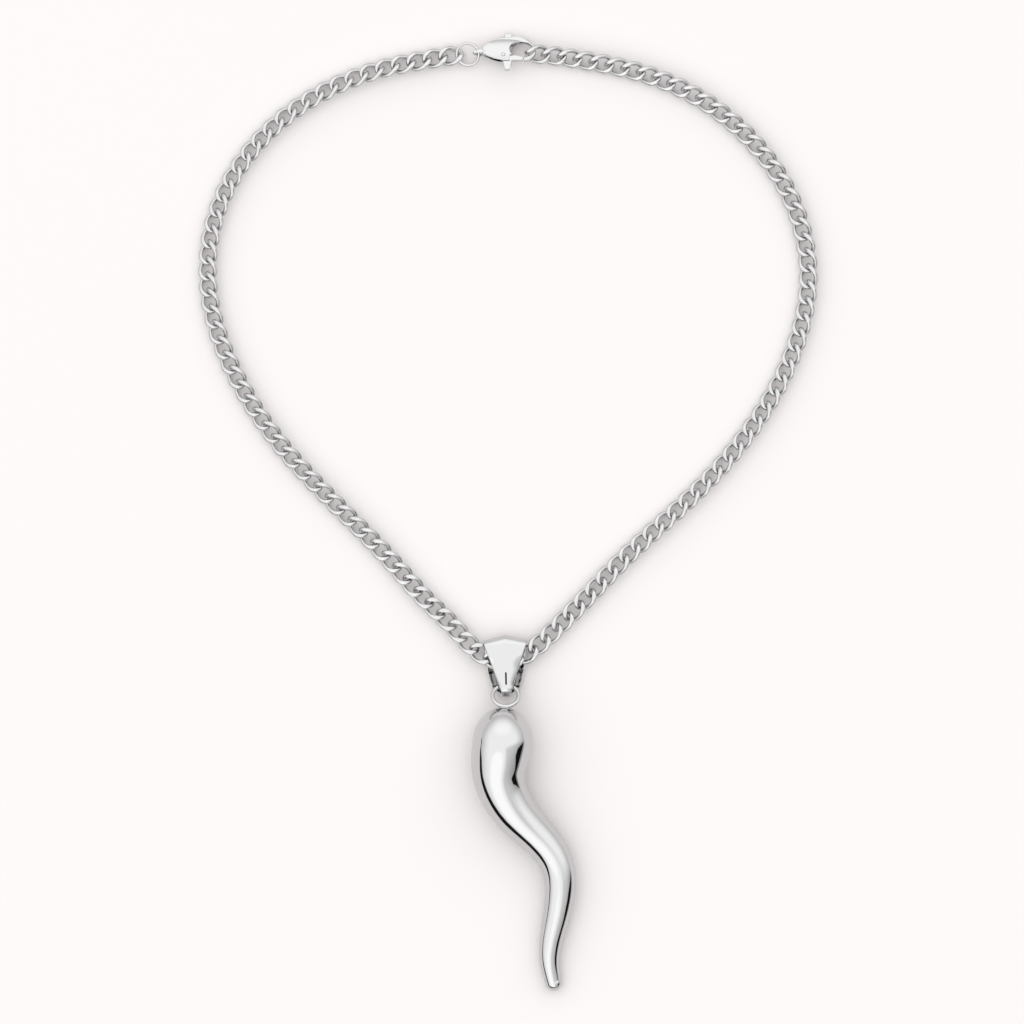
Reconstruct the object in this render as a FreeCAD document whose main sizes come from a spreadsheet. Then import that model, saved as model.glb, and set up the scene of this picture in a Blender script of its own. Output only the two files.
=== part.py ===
"""Cornicello horn pendant on a curb chain, laid flat with its clasp shut.

Lengths are millimetres. X runs to the right and Y towards the clasp as the necklace
lies, and Z is up from the surface that it lies on, which is z = 0. The origin is the
middle of the necklace's outline on that surface.
"""
import FreeCAD, Part
import math
import os
import sys
from collections import namedtuple

import Sketcher
from FreeCAD import Placement, Rotation, Vector

SHEET = "sizes"
NODES = ("horn", "bail", "curb_chain", "jump_ring", "clasp_body", "clasp_lever", "clasp_pin")

DIMENSIONS = (
    ("chain_wire", 1.12, "diameter of the wire of a chain link"),
    ("link_reach", 2.72, "half the length of a link, on the middle of its wire"),
    ("link_spread", 2.00, "half the width of a link, on the middle of its wire"),
    ("link_twist", 45.0, "turn of a link's end out of the chain's plane, degrees"),
    ("link_pitch", 3.95, "distance from link to link along the chain"),
    ("chain_rise", 1.90, "height of the chain's middle where it lies on the surface"),
    ("horn_dome", 8.80, "length of the horn's round head, ahead of its widest place"),
    ("loop_radius", 3.22, "radius of the loop on the horn, on the middle of its wire"),
    ("loop_wire", 0.86, "diameter of the loop's wire"),
    ("loop_tilt", 37.0, "angle from the surface of the loop on the horn, degrees"),
    ("bail_length", 15.30, "length of the bail over its two folds, at its middle"),
    ("bail_width", 10.50, "width of the bail at its wide fold"),
    ("bail_sheet", 0.65, "thickness of the bail's sheet"),
    ("bail_gap", 3.40, "clear height inside the bail at its middle"),
    ("bail_gable", 1.10, "how far the middle of the wide fold stands ahead of its ends"),
    ("bail_tail", 1.10, "half the width of the bail at its narrow fold"),
    ("ring_radius", 2.75, "radius of the jump ring, on the middle of its wire"),
    ("ring_wire", 0.72, "diameter of the jump ring's wire"),
    ("clasp_depth", 2.90, "thickness of the clasp at its middle"),
    ("claw_length", 7.70, "half the length of the claw's rounded bulk"),
    ("claw_height", 4.80, "half the height of the claw's rounded bulk"),
    ("nub_depth", 1.20, "thickness of the nub on the clasp's back"),
    ("clasp_roll", -20.0, "turn of the clasp about its length as it lies, degrees"),
    ("eye_radius", 1.25, "radius of the eye on the clasp's tail, on the middle of its wire"),
    ("eye_wire", 0.80, "diameter of the wire of the tail's eye"),
    ("slot_depth", 1.50, "width of the slot that holds the lever"),
    ("lever_depth", 1.30, "thickness of the lever"),
    ("pin_radius", 0.40, "radius of the rivet that the lever turns on"),
    ("pin_play", 0.05, "clearance all round the rivet in the lever"),
    ("pin_length", 2.80, "length of the rivet"),
    ("cut_depth", 40.0, "depth of the cuts that go right through the clasp"),
    ("pin_seat", 0.02, "clearance all round the rivet in the clasp"),
)

HornSection = namedtuple("HornSection", "x y radius")
HORN_SECTIONS = (
    HornSection(-1.2, -56.4, 7.70),
    HornSection(-2.0, -60.1, 7.33),
    HornSection(-2.5, -64.8, 6.57),
    HornSection(-1.5, -68.1, 6.13),
    HornSection(0.9, -72.6, 5.69),
    HornSection(6.0, -78.1, 4.90),
    HornSection(10.1, -82.4, 4.41),
    HornSection(12.8, -88.1, 4.00),
    HornSection(12.9, -92.3, 3.86),
    HornSection(11.5, -100.5, 3.23),
    HornSection(9.9, -109.4, 2.56),
    HornSection(11.1, -115.3, 2.08),
)
HORN_HEAD_LEAN = 4.0
HORN_TIP_TURN = 26.0
LOOP_CENTRE = Vector(-0.66, -44.95, 5.10)

BAIL_PLACE = Placement(Vector(-0.47, -45.4, 3.04), Rotation(1.5, 0, -2.5))
BAIL_CROWN = 0.30
BAIL_RIBS = (-1.0, -0.5, 0.0, 0.5, 1.0)
BAIL_TRIM = 8.0
BAIL_BEHIND = -1.0
BAIL_UPPER_LEAF = (
    ((1.0, BAIL_BEHIND),),
    ((1.1, 0.8),),
    ((1.6, 2.3),),
    ((5.25, 13.95),),
    ((BAIL_TRIM, 13.95),),
)
BAIL_LOWER_LEAF = (
    ((1.0, BAIL_BEHIND),),
    ((1.1, 0.0),),
    ((3.5, 2.8), (4.6, 7.0)),
    ((5.25, 13.9),),
    ((BAIL_TRIM, 13.9),),
)

RING_PLACE = Placement(Vector(-9.95, 112.1, 2.06), Rotation(0, -9.4, 15))

CLASP_CENTRE = Vector(-0.83, 112.75, 2.45)
CLAW_MIDDLE = Vector(0, 0.2, 0)
CLAW_FRAME = 12.0
CLAW_START = (-5.55, 0.85)
CLAW_OUTLINE = (
    ((-1.9, 2.95), (1.0, 3.42)),
    ((5.6, 2.75), (7.55, 0.2)),
    ((7.3, -1.4), (5.9, -2.6)),
    ((1.6, -2.6),),
    ((-2.6, -2.2), (-5.55, -0.75)),
)
NUB_OUTLINE = (
    ((-0.3, 3.0),),
    ((1.8, 3.0),),
    ((1.55, 4.6),),
    ((0.1, 4.6),),
)
TAIL_EYE = Vector(-6.3, -0.3, 0)
EYE_MIDDLE = Vector(4.3, 0.25, 0)
EYE_REACH = 2.5
EYE_RISE = 1.75
EYE_FLARE = ((-2.0, 1.1), (-0.25, 0.0), (0.25, 0.0), (2.0, 1.1))
GATE_OUTLINE = (
    ((1.2, -4.0),),
    ((4.6, -4.0),),
    ((4.6, -1.2),),
    ((1.2, -1.2),),
)
SLOT_OUTLINE = (
    ((-4.9, -0.7),),
    ((-2.0, -0.1),),
    ((0.3, 0.3),),
    ((3.4, 0.3),),
    ((3.4, -4.0),),
    ((-4.9, -4.0),),
)
PIVOT = (-0.4, -1.3)
LEVER_START = (-1.3, -1.0)
LEVER_OUTLINE = (
    ((-0.4, -0.3), (0.4, -0.85)),
    ((4.35, -1.6),),
    ((4.35, -2.45),),
    ((1.65, -2.45),),
    ((1.15, -4.9),),
    ((-0.05, -4.9),),
    ((-0.55, -2.45),),
    ((-1.25, -1.75),),
)

RoutePoint = namedtuple("RoutePoint", "x y lift")
CHAIN_ROUTE = (
    RoutePoint(7.15, 112.15, 0.52),
    RoutePoint(12.0, 111.65, 0.10),
    RoutePoint(17.6, 110.8, 0.0),
    RoutePoint(29.5, 108.4, 0.0),
    RoutePoint(41.0, 104.4, 0.0),
    RoutePoint(51.5, 98.2, 0.0),
    RoutePoint(60.5, 90.0, 0.0),
    RoutePoint(67.5, 80.2, 0.0),
    RoutePoint(72.0, 69.0, 0.0),
    RoutePoint(73.5, 57.0, 0.0),
    RoutePoint(71.7, 45.2, 0.0),
    RoutePoint(67.5, 33.8, 0.0),
    RoutePoint(61.5, 23.3, 0.0),
    RoutePoint(54.2, 13.6, 0.0),
    RoutePoint(46.0, 4.8, 0.0),
    RoutePoint(37.0, -3.5, 0.0),
    RoutePoint(28.0, -11.8, 0.0),
    RoutePoint(19.6, -20.5, 0.0),
    RoutePoint(11.9, -28.3, 0.17),
    RoutePoint(9.0, -31.1, 0.52),
    RoutePoint(6.1, -33.6, 0.72),
    RoutePoint(2.7, -35.6, 0.77),
    RoutePoint(-0.9, -36.3, 0.77),
    RoutePoint(-4.6, -35.8, 0.77),
    RoutePoint(-7.9, -33.9, 0.72),
    RoutePoint(-10.6, -31.3, 0.47),
    RoutePoint(-13.1, -28.5, 0.12),
    RoutePoint(-20.3, -21.4, 0.0),
    RoutePoint(-28.2, -12.6, 0.0),
    RoutePoint(-36.6, -3.8, 0.0),
    RoutePoint(-45.2, 4.8, 0.0),
    RoutePoint(-53.5, 13.7, 0.0),
    RoutePoint(-60.9, 23.4, 0.0),
    RoutePoint(-67.0, 33.8, 0.0),
    RoutePoint(-71.5, 45.0, 0.0),
    RoutePoint(-73.6, 57.0, 0.0),
    RoutePoint(-72.6, 69.0, 0.0),
    RoutePoint(-68.4, 80.4, 0.0),
    RoutePoint(-61.5, 90.3, 0.0),
    RoutePoint(-52.5, 98.4, 0.0),
    RoutePoint(-42.0, 104.5, 0.0),
    RoutePoint(-30.6, 108.6, 0.0),
    RoutePoint(-18.7, 111.0, -0.22),
    RoutePoint(-14.05, 111.75, -0.33),
)

# The chain lies turned about its length: one way from the hook down to the bail, the other way
# from the bail up to the ring, and level where it passes through the bail.
ROLL_STEP = 3.5
ROLL_MOST = 28.0
RING_ROLL = -12.0
LEVEL_LINKS = (51, 60)


def value(*aliases):
    """The named driving dimensions as the sheet holds them, in millimetres or degrees."""
    sheet = FreeCAD.ActiveDocument.getObject(SHEET)
    return tuple(float(sheet.get(alias)) for alias in aliases)


def make_sheet(doc):
    """Writes the driving dimensions into a sheet, one alias for each."""
    sheet = doc.addObject("Spreadsheet::Sheet", SHEET)
    rows = list(DIMENSIONS)
    for number, section in enumerate(HORN_SECTIONS):
        rows.append((f"horn_radius_{number}", section.radius, f"radius of the horn at section {number}"))
    for row, (alias, size, note) in enumerate(rows, start=1):
        sheet.set(f"A{row}", note)
        sheet.set(f"B{row}", str(size))
        sheet.setAlias(f"B{row}", alias)
    doc.recompute()


def origin_plane(body, role):
    """The named plane of a body's own origin."""
    return next(item for item in body.Origin.OriginFeatures if item.Role == role)


def new_body(doc, label):
    """An empty body whose label names its file."""
    body = doc.addObject("PartDesign::Body", label)
    body.Label = label
    return body


def new_sketch(body, name, role="XY_Plane", offset=None):
    """A sketch on one of the body's own planes, moved off it by a placement."""
    sketch = body.newObject("Sketcher::SketchObject", name)
    sketch.AttachmentSupport = (origin_plane(body, role), [""])
    sketch.MapMode = "FlatFace"
    if offset is not None:
        sketch.AttachmentOffset = offset
    return sketch


def bind_radius(sketch, index, expression):
    """Binds the radius of a sketched arc or circle to the sheet."""
    radius = sketch.Geometry[index].Radius
    constraint = sketch.addConstraint(Sketcher.Constraint("Radius", index, radius))
    sketch.setExpression(f"Constraints[{constraint}]", expression)


def facing(direction):
    """The turn that takes the upward axis to a direction in the necklace's plane."""
    across = Vector(0, 0, 1).cross(direction)
    return Rotation(across, Vector(0, 0, 1), direction, "ZYX")


def build_horn(doc):
    """The horn: round sections along a winding middle line that rests its whole length,
    with a domed head, a round tip, and the wire loop soldered to the head."""
    body = new_body(doc, "horn")
    places = [Vector(each.x, each.y, each.radius) for each in HORN_SECTIONS]
    sketches = []
    for number, place in enumerate(places):
        if number == 0:
            onward = Rotation(Vector(0, 0, 1), HORN_HEAD_LEAN).multVec(Vector(0, -1, 0))
        elif number == len(places) - 1:
            onward = Rotation(Vector(0, 0, 1), HORN_TIP_TURN).multVec(Vector(0, -1, 0))
        else:
            onward = places[number + 1] - places[number - 1]
        onward = Vector(onward.x, onward.y, 0).normalize()
        frame = Placement(place, facing(onward))
        sketch = new_sketch(body, f"horn_section_{number}", offset=frame)
        sketch.addGeometry(Part.Circle(Vector(0, 0, 0), Vector(0, 0, 1), HORN_SECTIONS[number].radius))
        sketch.addConstraint(Sketcher.Constraint("Coincident", 0, 3, -1, 1))
        bind_radius(sketch, 0, f"{SHEET}.horn_radius_{number}")
        sketches.append((sketch, place, onward))
    taper = body.newObject("PartDesign::AdditiveLoft", "horn_taper")
    taper.Profile = sketches[0][0]
    taper.Sections = [sketch for sketch, _, _ in sketches[1:]]

    head_place, head_onward = sketches[0][1:]
    head = add_half_round(body, "horn_head", head_place, head_onward * -1)
    head.setExpression("Radius1", f"{SHEET}.horn_dome")
    head.setExpression("Radius2", f"{SHEET}.horn_radius_0")
    head.setExpression("Radius3", f"{SHEET}.horn_radius_0")
    tip_place, tip_onward = sketches[-1][1:]
    tip = add_half_round(body, "horn_tip", tip_place, tip_onward)
    for radius in ("Radius1", "Radius2", "Radius3"):
        tip.setExpression(radius, f"{SHEET}.horn_radius_{len(HORN_SECTIONS) - 1}")

    loop = body.newObject("PartDesign::AdditiveTorus", "horn_loop")
    attach(loop, body, Placement(LOOP_CENTRE, Rotation(Vector(1, 0, 0), 0)))
    loop.setExpression("Radius1", f"{SHEET}.loop_radius")
    loop.setExpression("Radius2", f"{SHEET}.loop_wire / 2")
    loop.setExpression(".AttachmentOffset.Rotation.Angle", f"-{SHEET}.loop_tilt")


def attach(feature, body, placement):
    """Seats a primitive on its body's ground plane, moved off it by a placement."""
    feature.AttachmentSupport = (origin_plane(body, "XY_Plane"), [""])
    feature.MapMode = "FlatFace"
    feature.AttachmentOffset = placement


def add_half_round(body, name, place, outward):
    """Half of an ellipsoid whose flat side meets a section, its pole pointing outward."""
    half = body.newObject("PartDesign::AdditiveEllipsoid", name)
    half.Angle1 = 0
    attach(half, body, Placement(place, facing(outward)))
    return half


def slot_profile(sketch, first, last, radius, first_rule, last_rule, radius_rule):
    """A long outline with round ends, whose centres lie on the sketch's first axis."""
    sketch.addGeometry(Part.LineSegment(Vector(first, radius, 0), Vector(last, radius, 0)))
    far_round = Part.Circle(Vector(last, 0, 0), Vector(0, 0, 1), radius)
    sketch.addGeometry(Part.ArcOfCircle(far_round, -math.pi / 2, math.pi / 2))
    sketch.addGeometry(Part.LineSegment(Vector(last, -radius, 0), Vector(first, -radius, 0)))
    near_round = Part.Circle(Vector(first, 0, 0), Vector(0, 0, 1), radius)
    sketch.addGeometry(Part.ArcOfCircle(near_round, math.pi / 2, 3 * math.pi / 2))
    for tangency in ((0, 2, 1, 2), (1, 1, 2, 1), (2, 2, 3, 2), (3, 1, 0, 1)):
        sketch.addConstraint(Sketcher.Constraint("Tangent", *tangency))
    sketch.addConstraint(Sketcher.Constraint("PointOnObject", 1, 3, -1))
    sketch.addConstraint(Sketcher.Constraint("PointOnObject", 3, 3, -1))
    bind_radius(sketch, 1, radius_rule)
    for arc, place, rule in ((1, last, last_rule), (3, first, first_rule)):
        number = sketch.addConstraint(Sketcher.Constraint("DistanceX", -1, 1, arc, 3, place))
        sketch.setExpression(f"Constraints[{number}]", rule)


def closed_outline(sketch, start, strokes):
    """Draws a closed outline: each stroke ends at its last point, an arc passing through
    the point that it names first."""
    here = start
    for stroke in strokes:
        ends = [Vector(x, y, 0) for x, y in stroke]
        if len(ends) == 2:
            sketch.addGeometry(Part.Arc(Vector(*here, 0), ends[0], ends[1]))
        else:
            sketch.addGeometry(Part.LineSegment(Vector(*here, 0), ends[0]))
        here = stroke[-1]
    sketch.addGeometry(Part.LineSegment(Vector(*here, 0), Vector(*start, 0)))


def build_bail(doc):
    """The bail: a folded band with a gabled wide fold and a narrow fold, whose upper leaf
    tapers straight and whose lower leaf is wider and rounded."""
    body = new_body(doc, "bail")
    length, width, sheet, gap, gable = value("bail_length", "bail_width", "bail_sheet", "bail_gap", "bail_gable")
    outside, inside = [], []
    for number, share in enumerate(BAIL_RIBS):
        fall, drop = gable * abs(share), BAIL_CROWN * share ** 2
        level = Placement(Vector(0, 0, share * width / 2), Rotation())
        outer = gap / 2 + sheet - drop
        outer_rule = f"{SHEET}.bail_gap / 2 + {SHEET}.bail_sheet - {drop}"
        inner_rule = f"{SHEET}.bail_gap / 2 - {drop}"
        fall_rule = f" - {SHEET}.bail_gable * {abs(share)}" if share else ""
        finish_rule = f"{SHEET}.bail_length{fall_rule} - ({outer_rule})"
        for pile, inset, rule, name in ((outside, 0, outer_rule, "outside"), (inside, sheet, inner_rule, "inside")):
            sketch = new_sketch(body, f"bail_{name}_{number}", "YZ_Plane", level)
            slot_profile(sketch, outer, length - fall - outer, outer - inset, outer_rule, finish_rule, rule)
            pile.append(sketch)
    for kind, pile in (("AdditiveLoft", outside), ("SubtractiveLoft", inside)):
        loft = body.newObject(f"PartDesign::{kind}", f"bail_{kind}")
        loft.Profile = pile[0]
        loft.Sections = pile[1:]
        loft.Ruled = True
    for name, strokes, upward in (("upper", BAIL_UPPER_LEAF, True), ("lower", BAIL_LOWER_LEAF, False)):
        sketch = new_sketch(body, f"bail_{name}_leaf")
        for side in (1, -1):
            edge = [tuple((side * x, y) for x, y in stroke) for stroke in strokes]
            closed_outline(sketch, (side * BAIL_TRIM, BAIL_BEHIND), edge)
        pocket = body.newObject("PartDesign::Pocket", f"bail_{name}_trim")
        pocket.Profile = sketch
        pocket.Type = "ThroughAll"
        pocket.Reversed = upward
    body.Placement = BAIL_PLACE


def arc_pair(start, start_way, finish, finish_way):
    """The two arcs, each a (start, middle, finish) triple, that join two points and leave
    and reach them along the given directions."""
    chord = finish - start
    ways = start_way + finish_way
    square = 2 * (start_way.dot(finish_way) - 1)
    middle = -2 * chord.dot(ways)
    reach = (-middle - math.sqrt(middle ** 2 - 4 * square * chord.dot(chord))) / (2 * square)
    near = start + start_way * reach
    far = finish - finish_way * reach
    joint = (near + far) * 0.5
    return [(start, mid_of_arc(start, near, joint), joint), (joint, mid_of_arc(joint, far, finish), finish)]


def mid_of_arc(start, corner, finish):
    """The middle of the arc that touches both legs from a corner."""
    chord_middle = (start + finish) * 0.5
    rise = corner - chord_middle
    half = (finish - start).Length / 2
    leg = (corner - start).Length
    turn = 2 * math.asin(min(1, rise.Length / leg))
    if turn < 1e-6:
        return chord_middle
    return chord_middle + rise.normalize() * (half * math.tan(turn / 4))


def link_shape():
    """One curb link, centred on the origin along X: an oval of round wire twisted so that
    its two ends lean out of its plane, made of tori that touch end to end."""
    reach, spread, twist, wire = value("link_reach", "link_spread", "link_twist", "chain_wire")
    lean = math.radians(twist)
    tip = Vector(reach, 0, 0)
    side = Vector(0, spread, 0)
    tip_way = Vector(0, math.cos(lean), -math.sin(lean))
    side_way = Vector(-1, 0, spread * lean / reach).normalize()
    quarter = [wire_bend(*arc, wire / 2) for arc in arc_pair(tip, tip_way, side, side_way)]
    pieces = []
    for axis in (None, Vector(1, 0, 0), Vector(0, 1, 0), Vector(0, 0, 1)):
        for bend in quarter:
            turned = bend.copy()
            if axis is not None:
                turned.rotate(Vector(0, 0, 0), axis, 180)
            pieces.append(turned)
    return pieces[0].multiFuse(pieces[1:]).removeSplitter().Solids[0]


def wire_bend(start, middle, finish, radius):
    """A bent length of round wire along the arc through three points."""
    arc = Part.Arc(start, middle, finish).toShape()
    centre, axis = arc.Curve.Center, arc.Curve.Axis
    way = axis.cross(start - centre).normalize()
    section = Part.Face(Part.Wire(Part.makeCircle(radius, start, way)))
    sweep = math.degrees(arc.LastParameter - arc.FirstParameter)
    return section.revolve(centre, axis, sweep)


def chain_line():
    """The curve that the chain's middle follows, from the clasp's hook to the jump ring."""
    rise, = value("chain_rise")
    curve = Part.BSplineCurve()
    curve.interpolate([Vector(point.x, point.y, rise + point.lift) for point in CHAIN_ROUTE])
    return curve.toShape()


def link_roll(number, count):
    """How far a link is turned about its length, in degrees, falling by no more than a small
    step from each link to the next."""
    first_level, last_level = LEVEL_LINKS
    before = max(0, first_level - number)
    after = max(0, number - last_level)
    by_bail = max(-ROLL_MOST, min(ROLL_MOST, ROLL_STEP * (before - after)))
    by_ring = RING_ROLL - ROLL_STEP * (count - 1 - number)
    return max(by_bail, by_ring)


def link_places():
    """A placement for each link, evenly spaced along the chain's line."""
    line = chain_line()
    pitch, = value("link_pitch")
    count = round(line.Length / pitch) + 1
    places = []
    for number in range(count):
        where = line.getParameterByLength(line.Length * (number / (count - 1)))
        along = line.tangentAt(where)
        upright = Rotation(along, Vector(0, 0, 1).cross(along), Vector(0, 0, 1), "XZY")
        roll = Rotation(Vector(1, 0, 0), link_roll(number, count))
        places.append(Placement(line.valueAt(where), upright * roll))
    return places


def build_chain(doc):
    """The curb chain: equal links, each passing through the next without touching it."""
    link = link_shape()
    links = []
    for place in link_places():
        copy = link.copy()
        copy.Placement = place
        links.append(copy)
    chain = doc.addObject("Part::Feature", "curb_chain")
    chain.Label = "curb_chain"
    chain.Shape = Part.makeCompound(links)


def build_jump_ring(doc):
    """The jump ring: round wire, tipped so that its two sides meet the chain and the clasp."""
    ring = doc.addObject("Part::Torus", "jump_ring")
    ring.Label = "jump_ring"
    ring.setExpression("Radius1", f"{SHEET}.ring_radius")
    ring.setExpression("Radius2", f"{SHEET}.ring_wire / 2")
    ring.Placement = RING_PLACE


def clasp_place():
    """Where the clasp's own frame lies: rolled about its length."""
    roll, = value("clasp_roll")
    return Placement(CLASP_CENTRE, Rotation(Vector(1, 0, 0), roll))


def build_clasp_body(doc):
    """The clasp's shell: a rounded claw with an open eye, a gap for the gate, a slot for
    the lever, a nub on its back and a wire eye on its tail."""
    body = new_body(doc, "clasp_body")
    bulk = body.newObject("PartDesign::AdditiveEllipsoid", "claw_bulk")
    attach(bulk, body, Placement(CLAW_MIDDLE, Rotation()))
    bulk.setExpression("Radius1", f"{SHEET}.clasp_depth / 2")
    bulk.setExpression("Radius2", f"{SHEET}.claw_length")
    bulk.setExpression("Radius3", f"{SHEET}.claw_height")

    outside = new_sketch(body, "claw_outline")
    closed_outline(outside, CLAW_START, CLAW_OUTLINE)
    closed_outline(outside, (-CLAW_FRAME, -CLAW_FRAME), [
        ((CLAW_FRAME, -CLAW_FRAME),), ((CLAW_FRAME, CLAW_FRAME),), ((-CLAW_FRAME, CLAW_FRAME),)])
    cut_through(body, "claw_shape", outside)

    nub = new_sketch(body, "nub_outline")
    closed_outline(nub, NUB_OUTLINE[0][0], NUB_OUTLINE[1:])
    pad_sketch(body, "nub", nub, "nub_depth")

    tail = body.newObject("PartDesign::AdditiveTorus", "tail_eye")
    attach(tail, body, Placement(TAIL_EYE, Rotation(Vector(1, 0, 0), 90)))
    tail.setExpression("Radius1", f"{SHEET}.eye_radius")
    tail.setExpression("Radius2", f"{SHEET}.eye_wire / 2")

    rims = []
    for number, (level, flare) in enumerate(EYE_FLARE):
        rim = new_sketch(body, f"eye_rim_{number}", offset=Placement(Vector(0, 0, level), Rotation()))
        rim.addGeometry(Part.Ellipse(EYE_MIDDLE, EYE_REACH + flare, EYE_RISE + flare))
        rims.append(rim)
    opening = body.newObject("PartDesign::SubtractiveLoft", "eye_opening")
    opening.Profile = rims[0]
    opening.Sections = rims[1:]
    opening.Ruled = True
    gate = new_sketch(body, "gate_outline")
    closed_outline(gate, GATE_OUTLINE[0][0], GATE_OUTLINE[1:])
    cut_through(body, "gate_gap", gate)
    slot = new_sketch(body, "slot_outline")
    closed_outline(slot, SLOT_OUTLINE[0][0], SLOT_OUTLINE[1:])
    cut_through(body, "lever_slot", slot, "slot_depth")
    bore_for_pin(body, "pin_bore", "pin_seat")
    body.Placement = clasp_place()


def build_lever(doc):
    """The lever: a hub on the rivet, a gate that shuts the eye and a thumb fin."""
    body = new_body(doc, "clasp_lever")
    outline = new_sketch(body, "lever_outline")
    closed_outline(outline, LEVER_START, LEVER_OUTLINE)
    pad_sketch(body, "lever", outline, "lever_depth")
    bore_for_pin(body, "lever_bore", "pin_play")
    body.Placement = clasp_place()


def build_pin(doc):
    """The rivet, from face to face of the clasp."""
    pin = doc.addObject("Part::Cylinder", "clasp_pin")
    pin.Label = "clasp_pin"
    pin.setExpression("Radius", f"{SHEET}.pin_radius")
    pin.setExpression("Height", f"{SHEET}.pin_length")
    length, = value("pin_length")
    pin.Placement = clasp_place() * Placement(Vector(*PIVOT, -length / 2), Rotation())


def bore_for_pin(body, name, clearance):
    """Bores a hole for the rivet, wider than it by the named clearance all round."""
    sketch = new_sketch(body, f"{name}_circle")
    radius, play = value("pin_radius", clearance)
    sketch.addGeometry(Part.Circle(Vector(*PIVOT, 0), Vector(0, 0, 1), radius + play))
    sketch.addConstraint(Sketcher.Constraint("DistanceX", -1, 1, 0, 3, PIVOT[0]))
    sketch.addConstraint(Sketcher.Constraint("DistanceY", -1, 1, 0, 3, PIVOT[1]))
    bind_radius(sketch, 0, f"{SHEET}.pin_radius + {SHEET}.{clearance}")
    cut_through(body, name, sketch)


def pad_sketch(body, name, sketch, depth_alias):
    """A plate from a sketch, as deep as the sheet says, centred on its plane."""
    pad = body.newObject("PartDesign::Pad", f"{name}_plate")
    pad.Profile = sketch
    pad.SideType = "Symmetric"
    pad.setExpression("Length", f"{SHEET}.{depth_alias}")


def cut_through(body, name, sketch, depth_alias="cut_depth"):
    """Cuts a sketch out of the body, both ways from its plane, as deep as the sheet says."""
    pocket = body.newObject("PartDesign::Pocket", name)
    pocket.Profile = sketch
    pocket.SideType = "Symmetric"
    pocket.setExpression("Length", f"{SHEET}.{depth_alias}")


def find_faults(doc):
    """Names every feature that failed and every sub-part without a sound shape."""
    faults = [f"{item.Name} is {', '.join(item.State)}" for item in doc.Objects
              if "Invalid" in item.State or "Error" in item.State]
    for label in NODES:
        shape = doc.getObjectsByLabel(label)[0].Shape
        if shape.isNull() or not shape.isValid():
            faults.append(f"{label} has no sound shape")
    return faults


def main():
    """Builds the necklace, checks it, and writes each sub-part to its file."""
    doc = FreeCAD.newDocument("necklace")
    make_sheet(doc)
    build_horn(doc)
    build_bail(doc)
    build_chain(doc)
    build_jump_ring(doc)
    build_clasp_body(doc)
    build_lever(doc)
    build_pin(doc)
    doc.recompute()
    faults = find_faults(doc)
    if faults:
        print("\n".join(faults))
        sys.exit(1)
    os.makedirs("parts", exist_ok=True)
    for label in NODES:
        doc.getObjectsByLabel(label)[0].Shape.exportStep(f"parts/{label}.step")


main()
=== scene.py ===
"""The looks of a cornicello horn pendant on a curb chain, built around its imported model.

Sizes in the classes are millimetres in the necklace's own frame: X to the right and Y towards
the clasp as the necklace lies, Z up from the surface. Finished meshes are in metres.
"""
import logging
import math
from dataclasses import dataclass
from enum import Enum
from typing import Sequence

import bmesh
import bpy
import numpy as np
from mathutils import Matrix, Vector


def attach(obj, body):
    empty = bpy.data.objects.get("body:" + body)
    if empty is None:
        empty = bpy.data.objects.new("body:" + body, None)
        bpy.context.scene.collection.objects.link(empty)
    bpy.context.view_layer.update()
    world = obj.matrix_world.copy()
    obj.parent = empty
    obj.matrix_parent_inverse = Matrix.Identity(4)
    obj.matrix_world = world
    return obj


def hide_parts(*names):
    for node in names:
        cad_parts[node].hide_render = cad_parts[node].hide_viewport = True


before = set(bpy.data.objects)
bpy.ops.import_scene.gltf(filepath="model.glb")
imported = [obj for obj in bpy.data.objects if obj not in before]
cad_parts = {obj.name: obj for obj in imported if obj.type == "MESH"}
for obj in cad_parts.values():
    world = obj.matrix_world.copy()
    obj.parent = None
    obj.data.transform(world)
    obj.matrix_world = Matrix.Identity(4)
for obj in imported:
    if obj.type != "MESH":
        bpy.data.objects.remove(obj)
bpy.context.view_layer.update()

LOG = logging.getLogger("necklace")
MM = 0.001
NECKLACE = "necklace"
LEVER = "lever"
WELD = 1e-7
NEARLY_NOUGHT = 1e-6
EAST_FACING = np.array([1.0, 0.0, 0.0])
UP = np.array([0.0, 0.0, 1.0])

Rings = list[np.ndarray]
Triple = tuple[float, float, float]
Span = tuple[float, float]


class Slot(Enum):
    """The record's material slots."""

    HORN = "horn_metal"
    BAIL = "bail_metal"
    CHAIN = "chain_metal"
    CLASP = "clasp_metal"


# The meshes.


def smooth_through(knots: np.ndarray, values: np.ndarray, where: np.ndarray) -> np.ndarray:
    """A natural cubic spline through some points.

    Args:
        knots: rising parameter of each point.
        values: the points, one row each.
        where: the parameters to read the spline at.

    Returns:
        One row for each parameter read.
    """
    gaps = np.diff(knots)
    count = len(knots)
    matrix = np.eye(count)
    right = np.zeros_like(values, dtype=float)
    slopes = np.diff(values, axis=0) / gaps[:, None]
    for row in range(1, count - 1):
        matrix[row, row - 1:row + 2] = gaps[row - 1], 2 * (gaps[row - 1] + gaps[row]), gaps[row]
        right[row] = 6 * (slopes[row] - slopes[row - 1])
    bends = np.linalg.solve(matrix, right)
    span = np.clip(np.searchsorted(knots, where) - 1, 0, count - 2)
    near = (where - knots[span])[:, None]
    far = (knots[span + 1] - where)[:, None]
    gap = gaps[span][:, None]
    curve = (bends[span] * far ** 3 + bends[span + 1] * near ** 3) / (6 * gap)
    curve += (values[span] / gap - bends[span] * gap / 6) * far
    curve += (values[span + 1] / gap - bends[span + 1] * gap / 6) * near
    return curve


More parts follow.
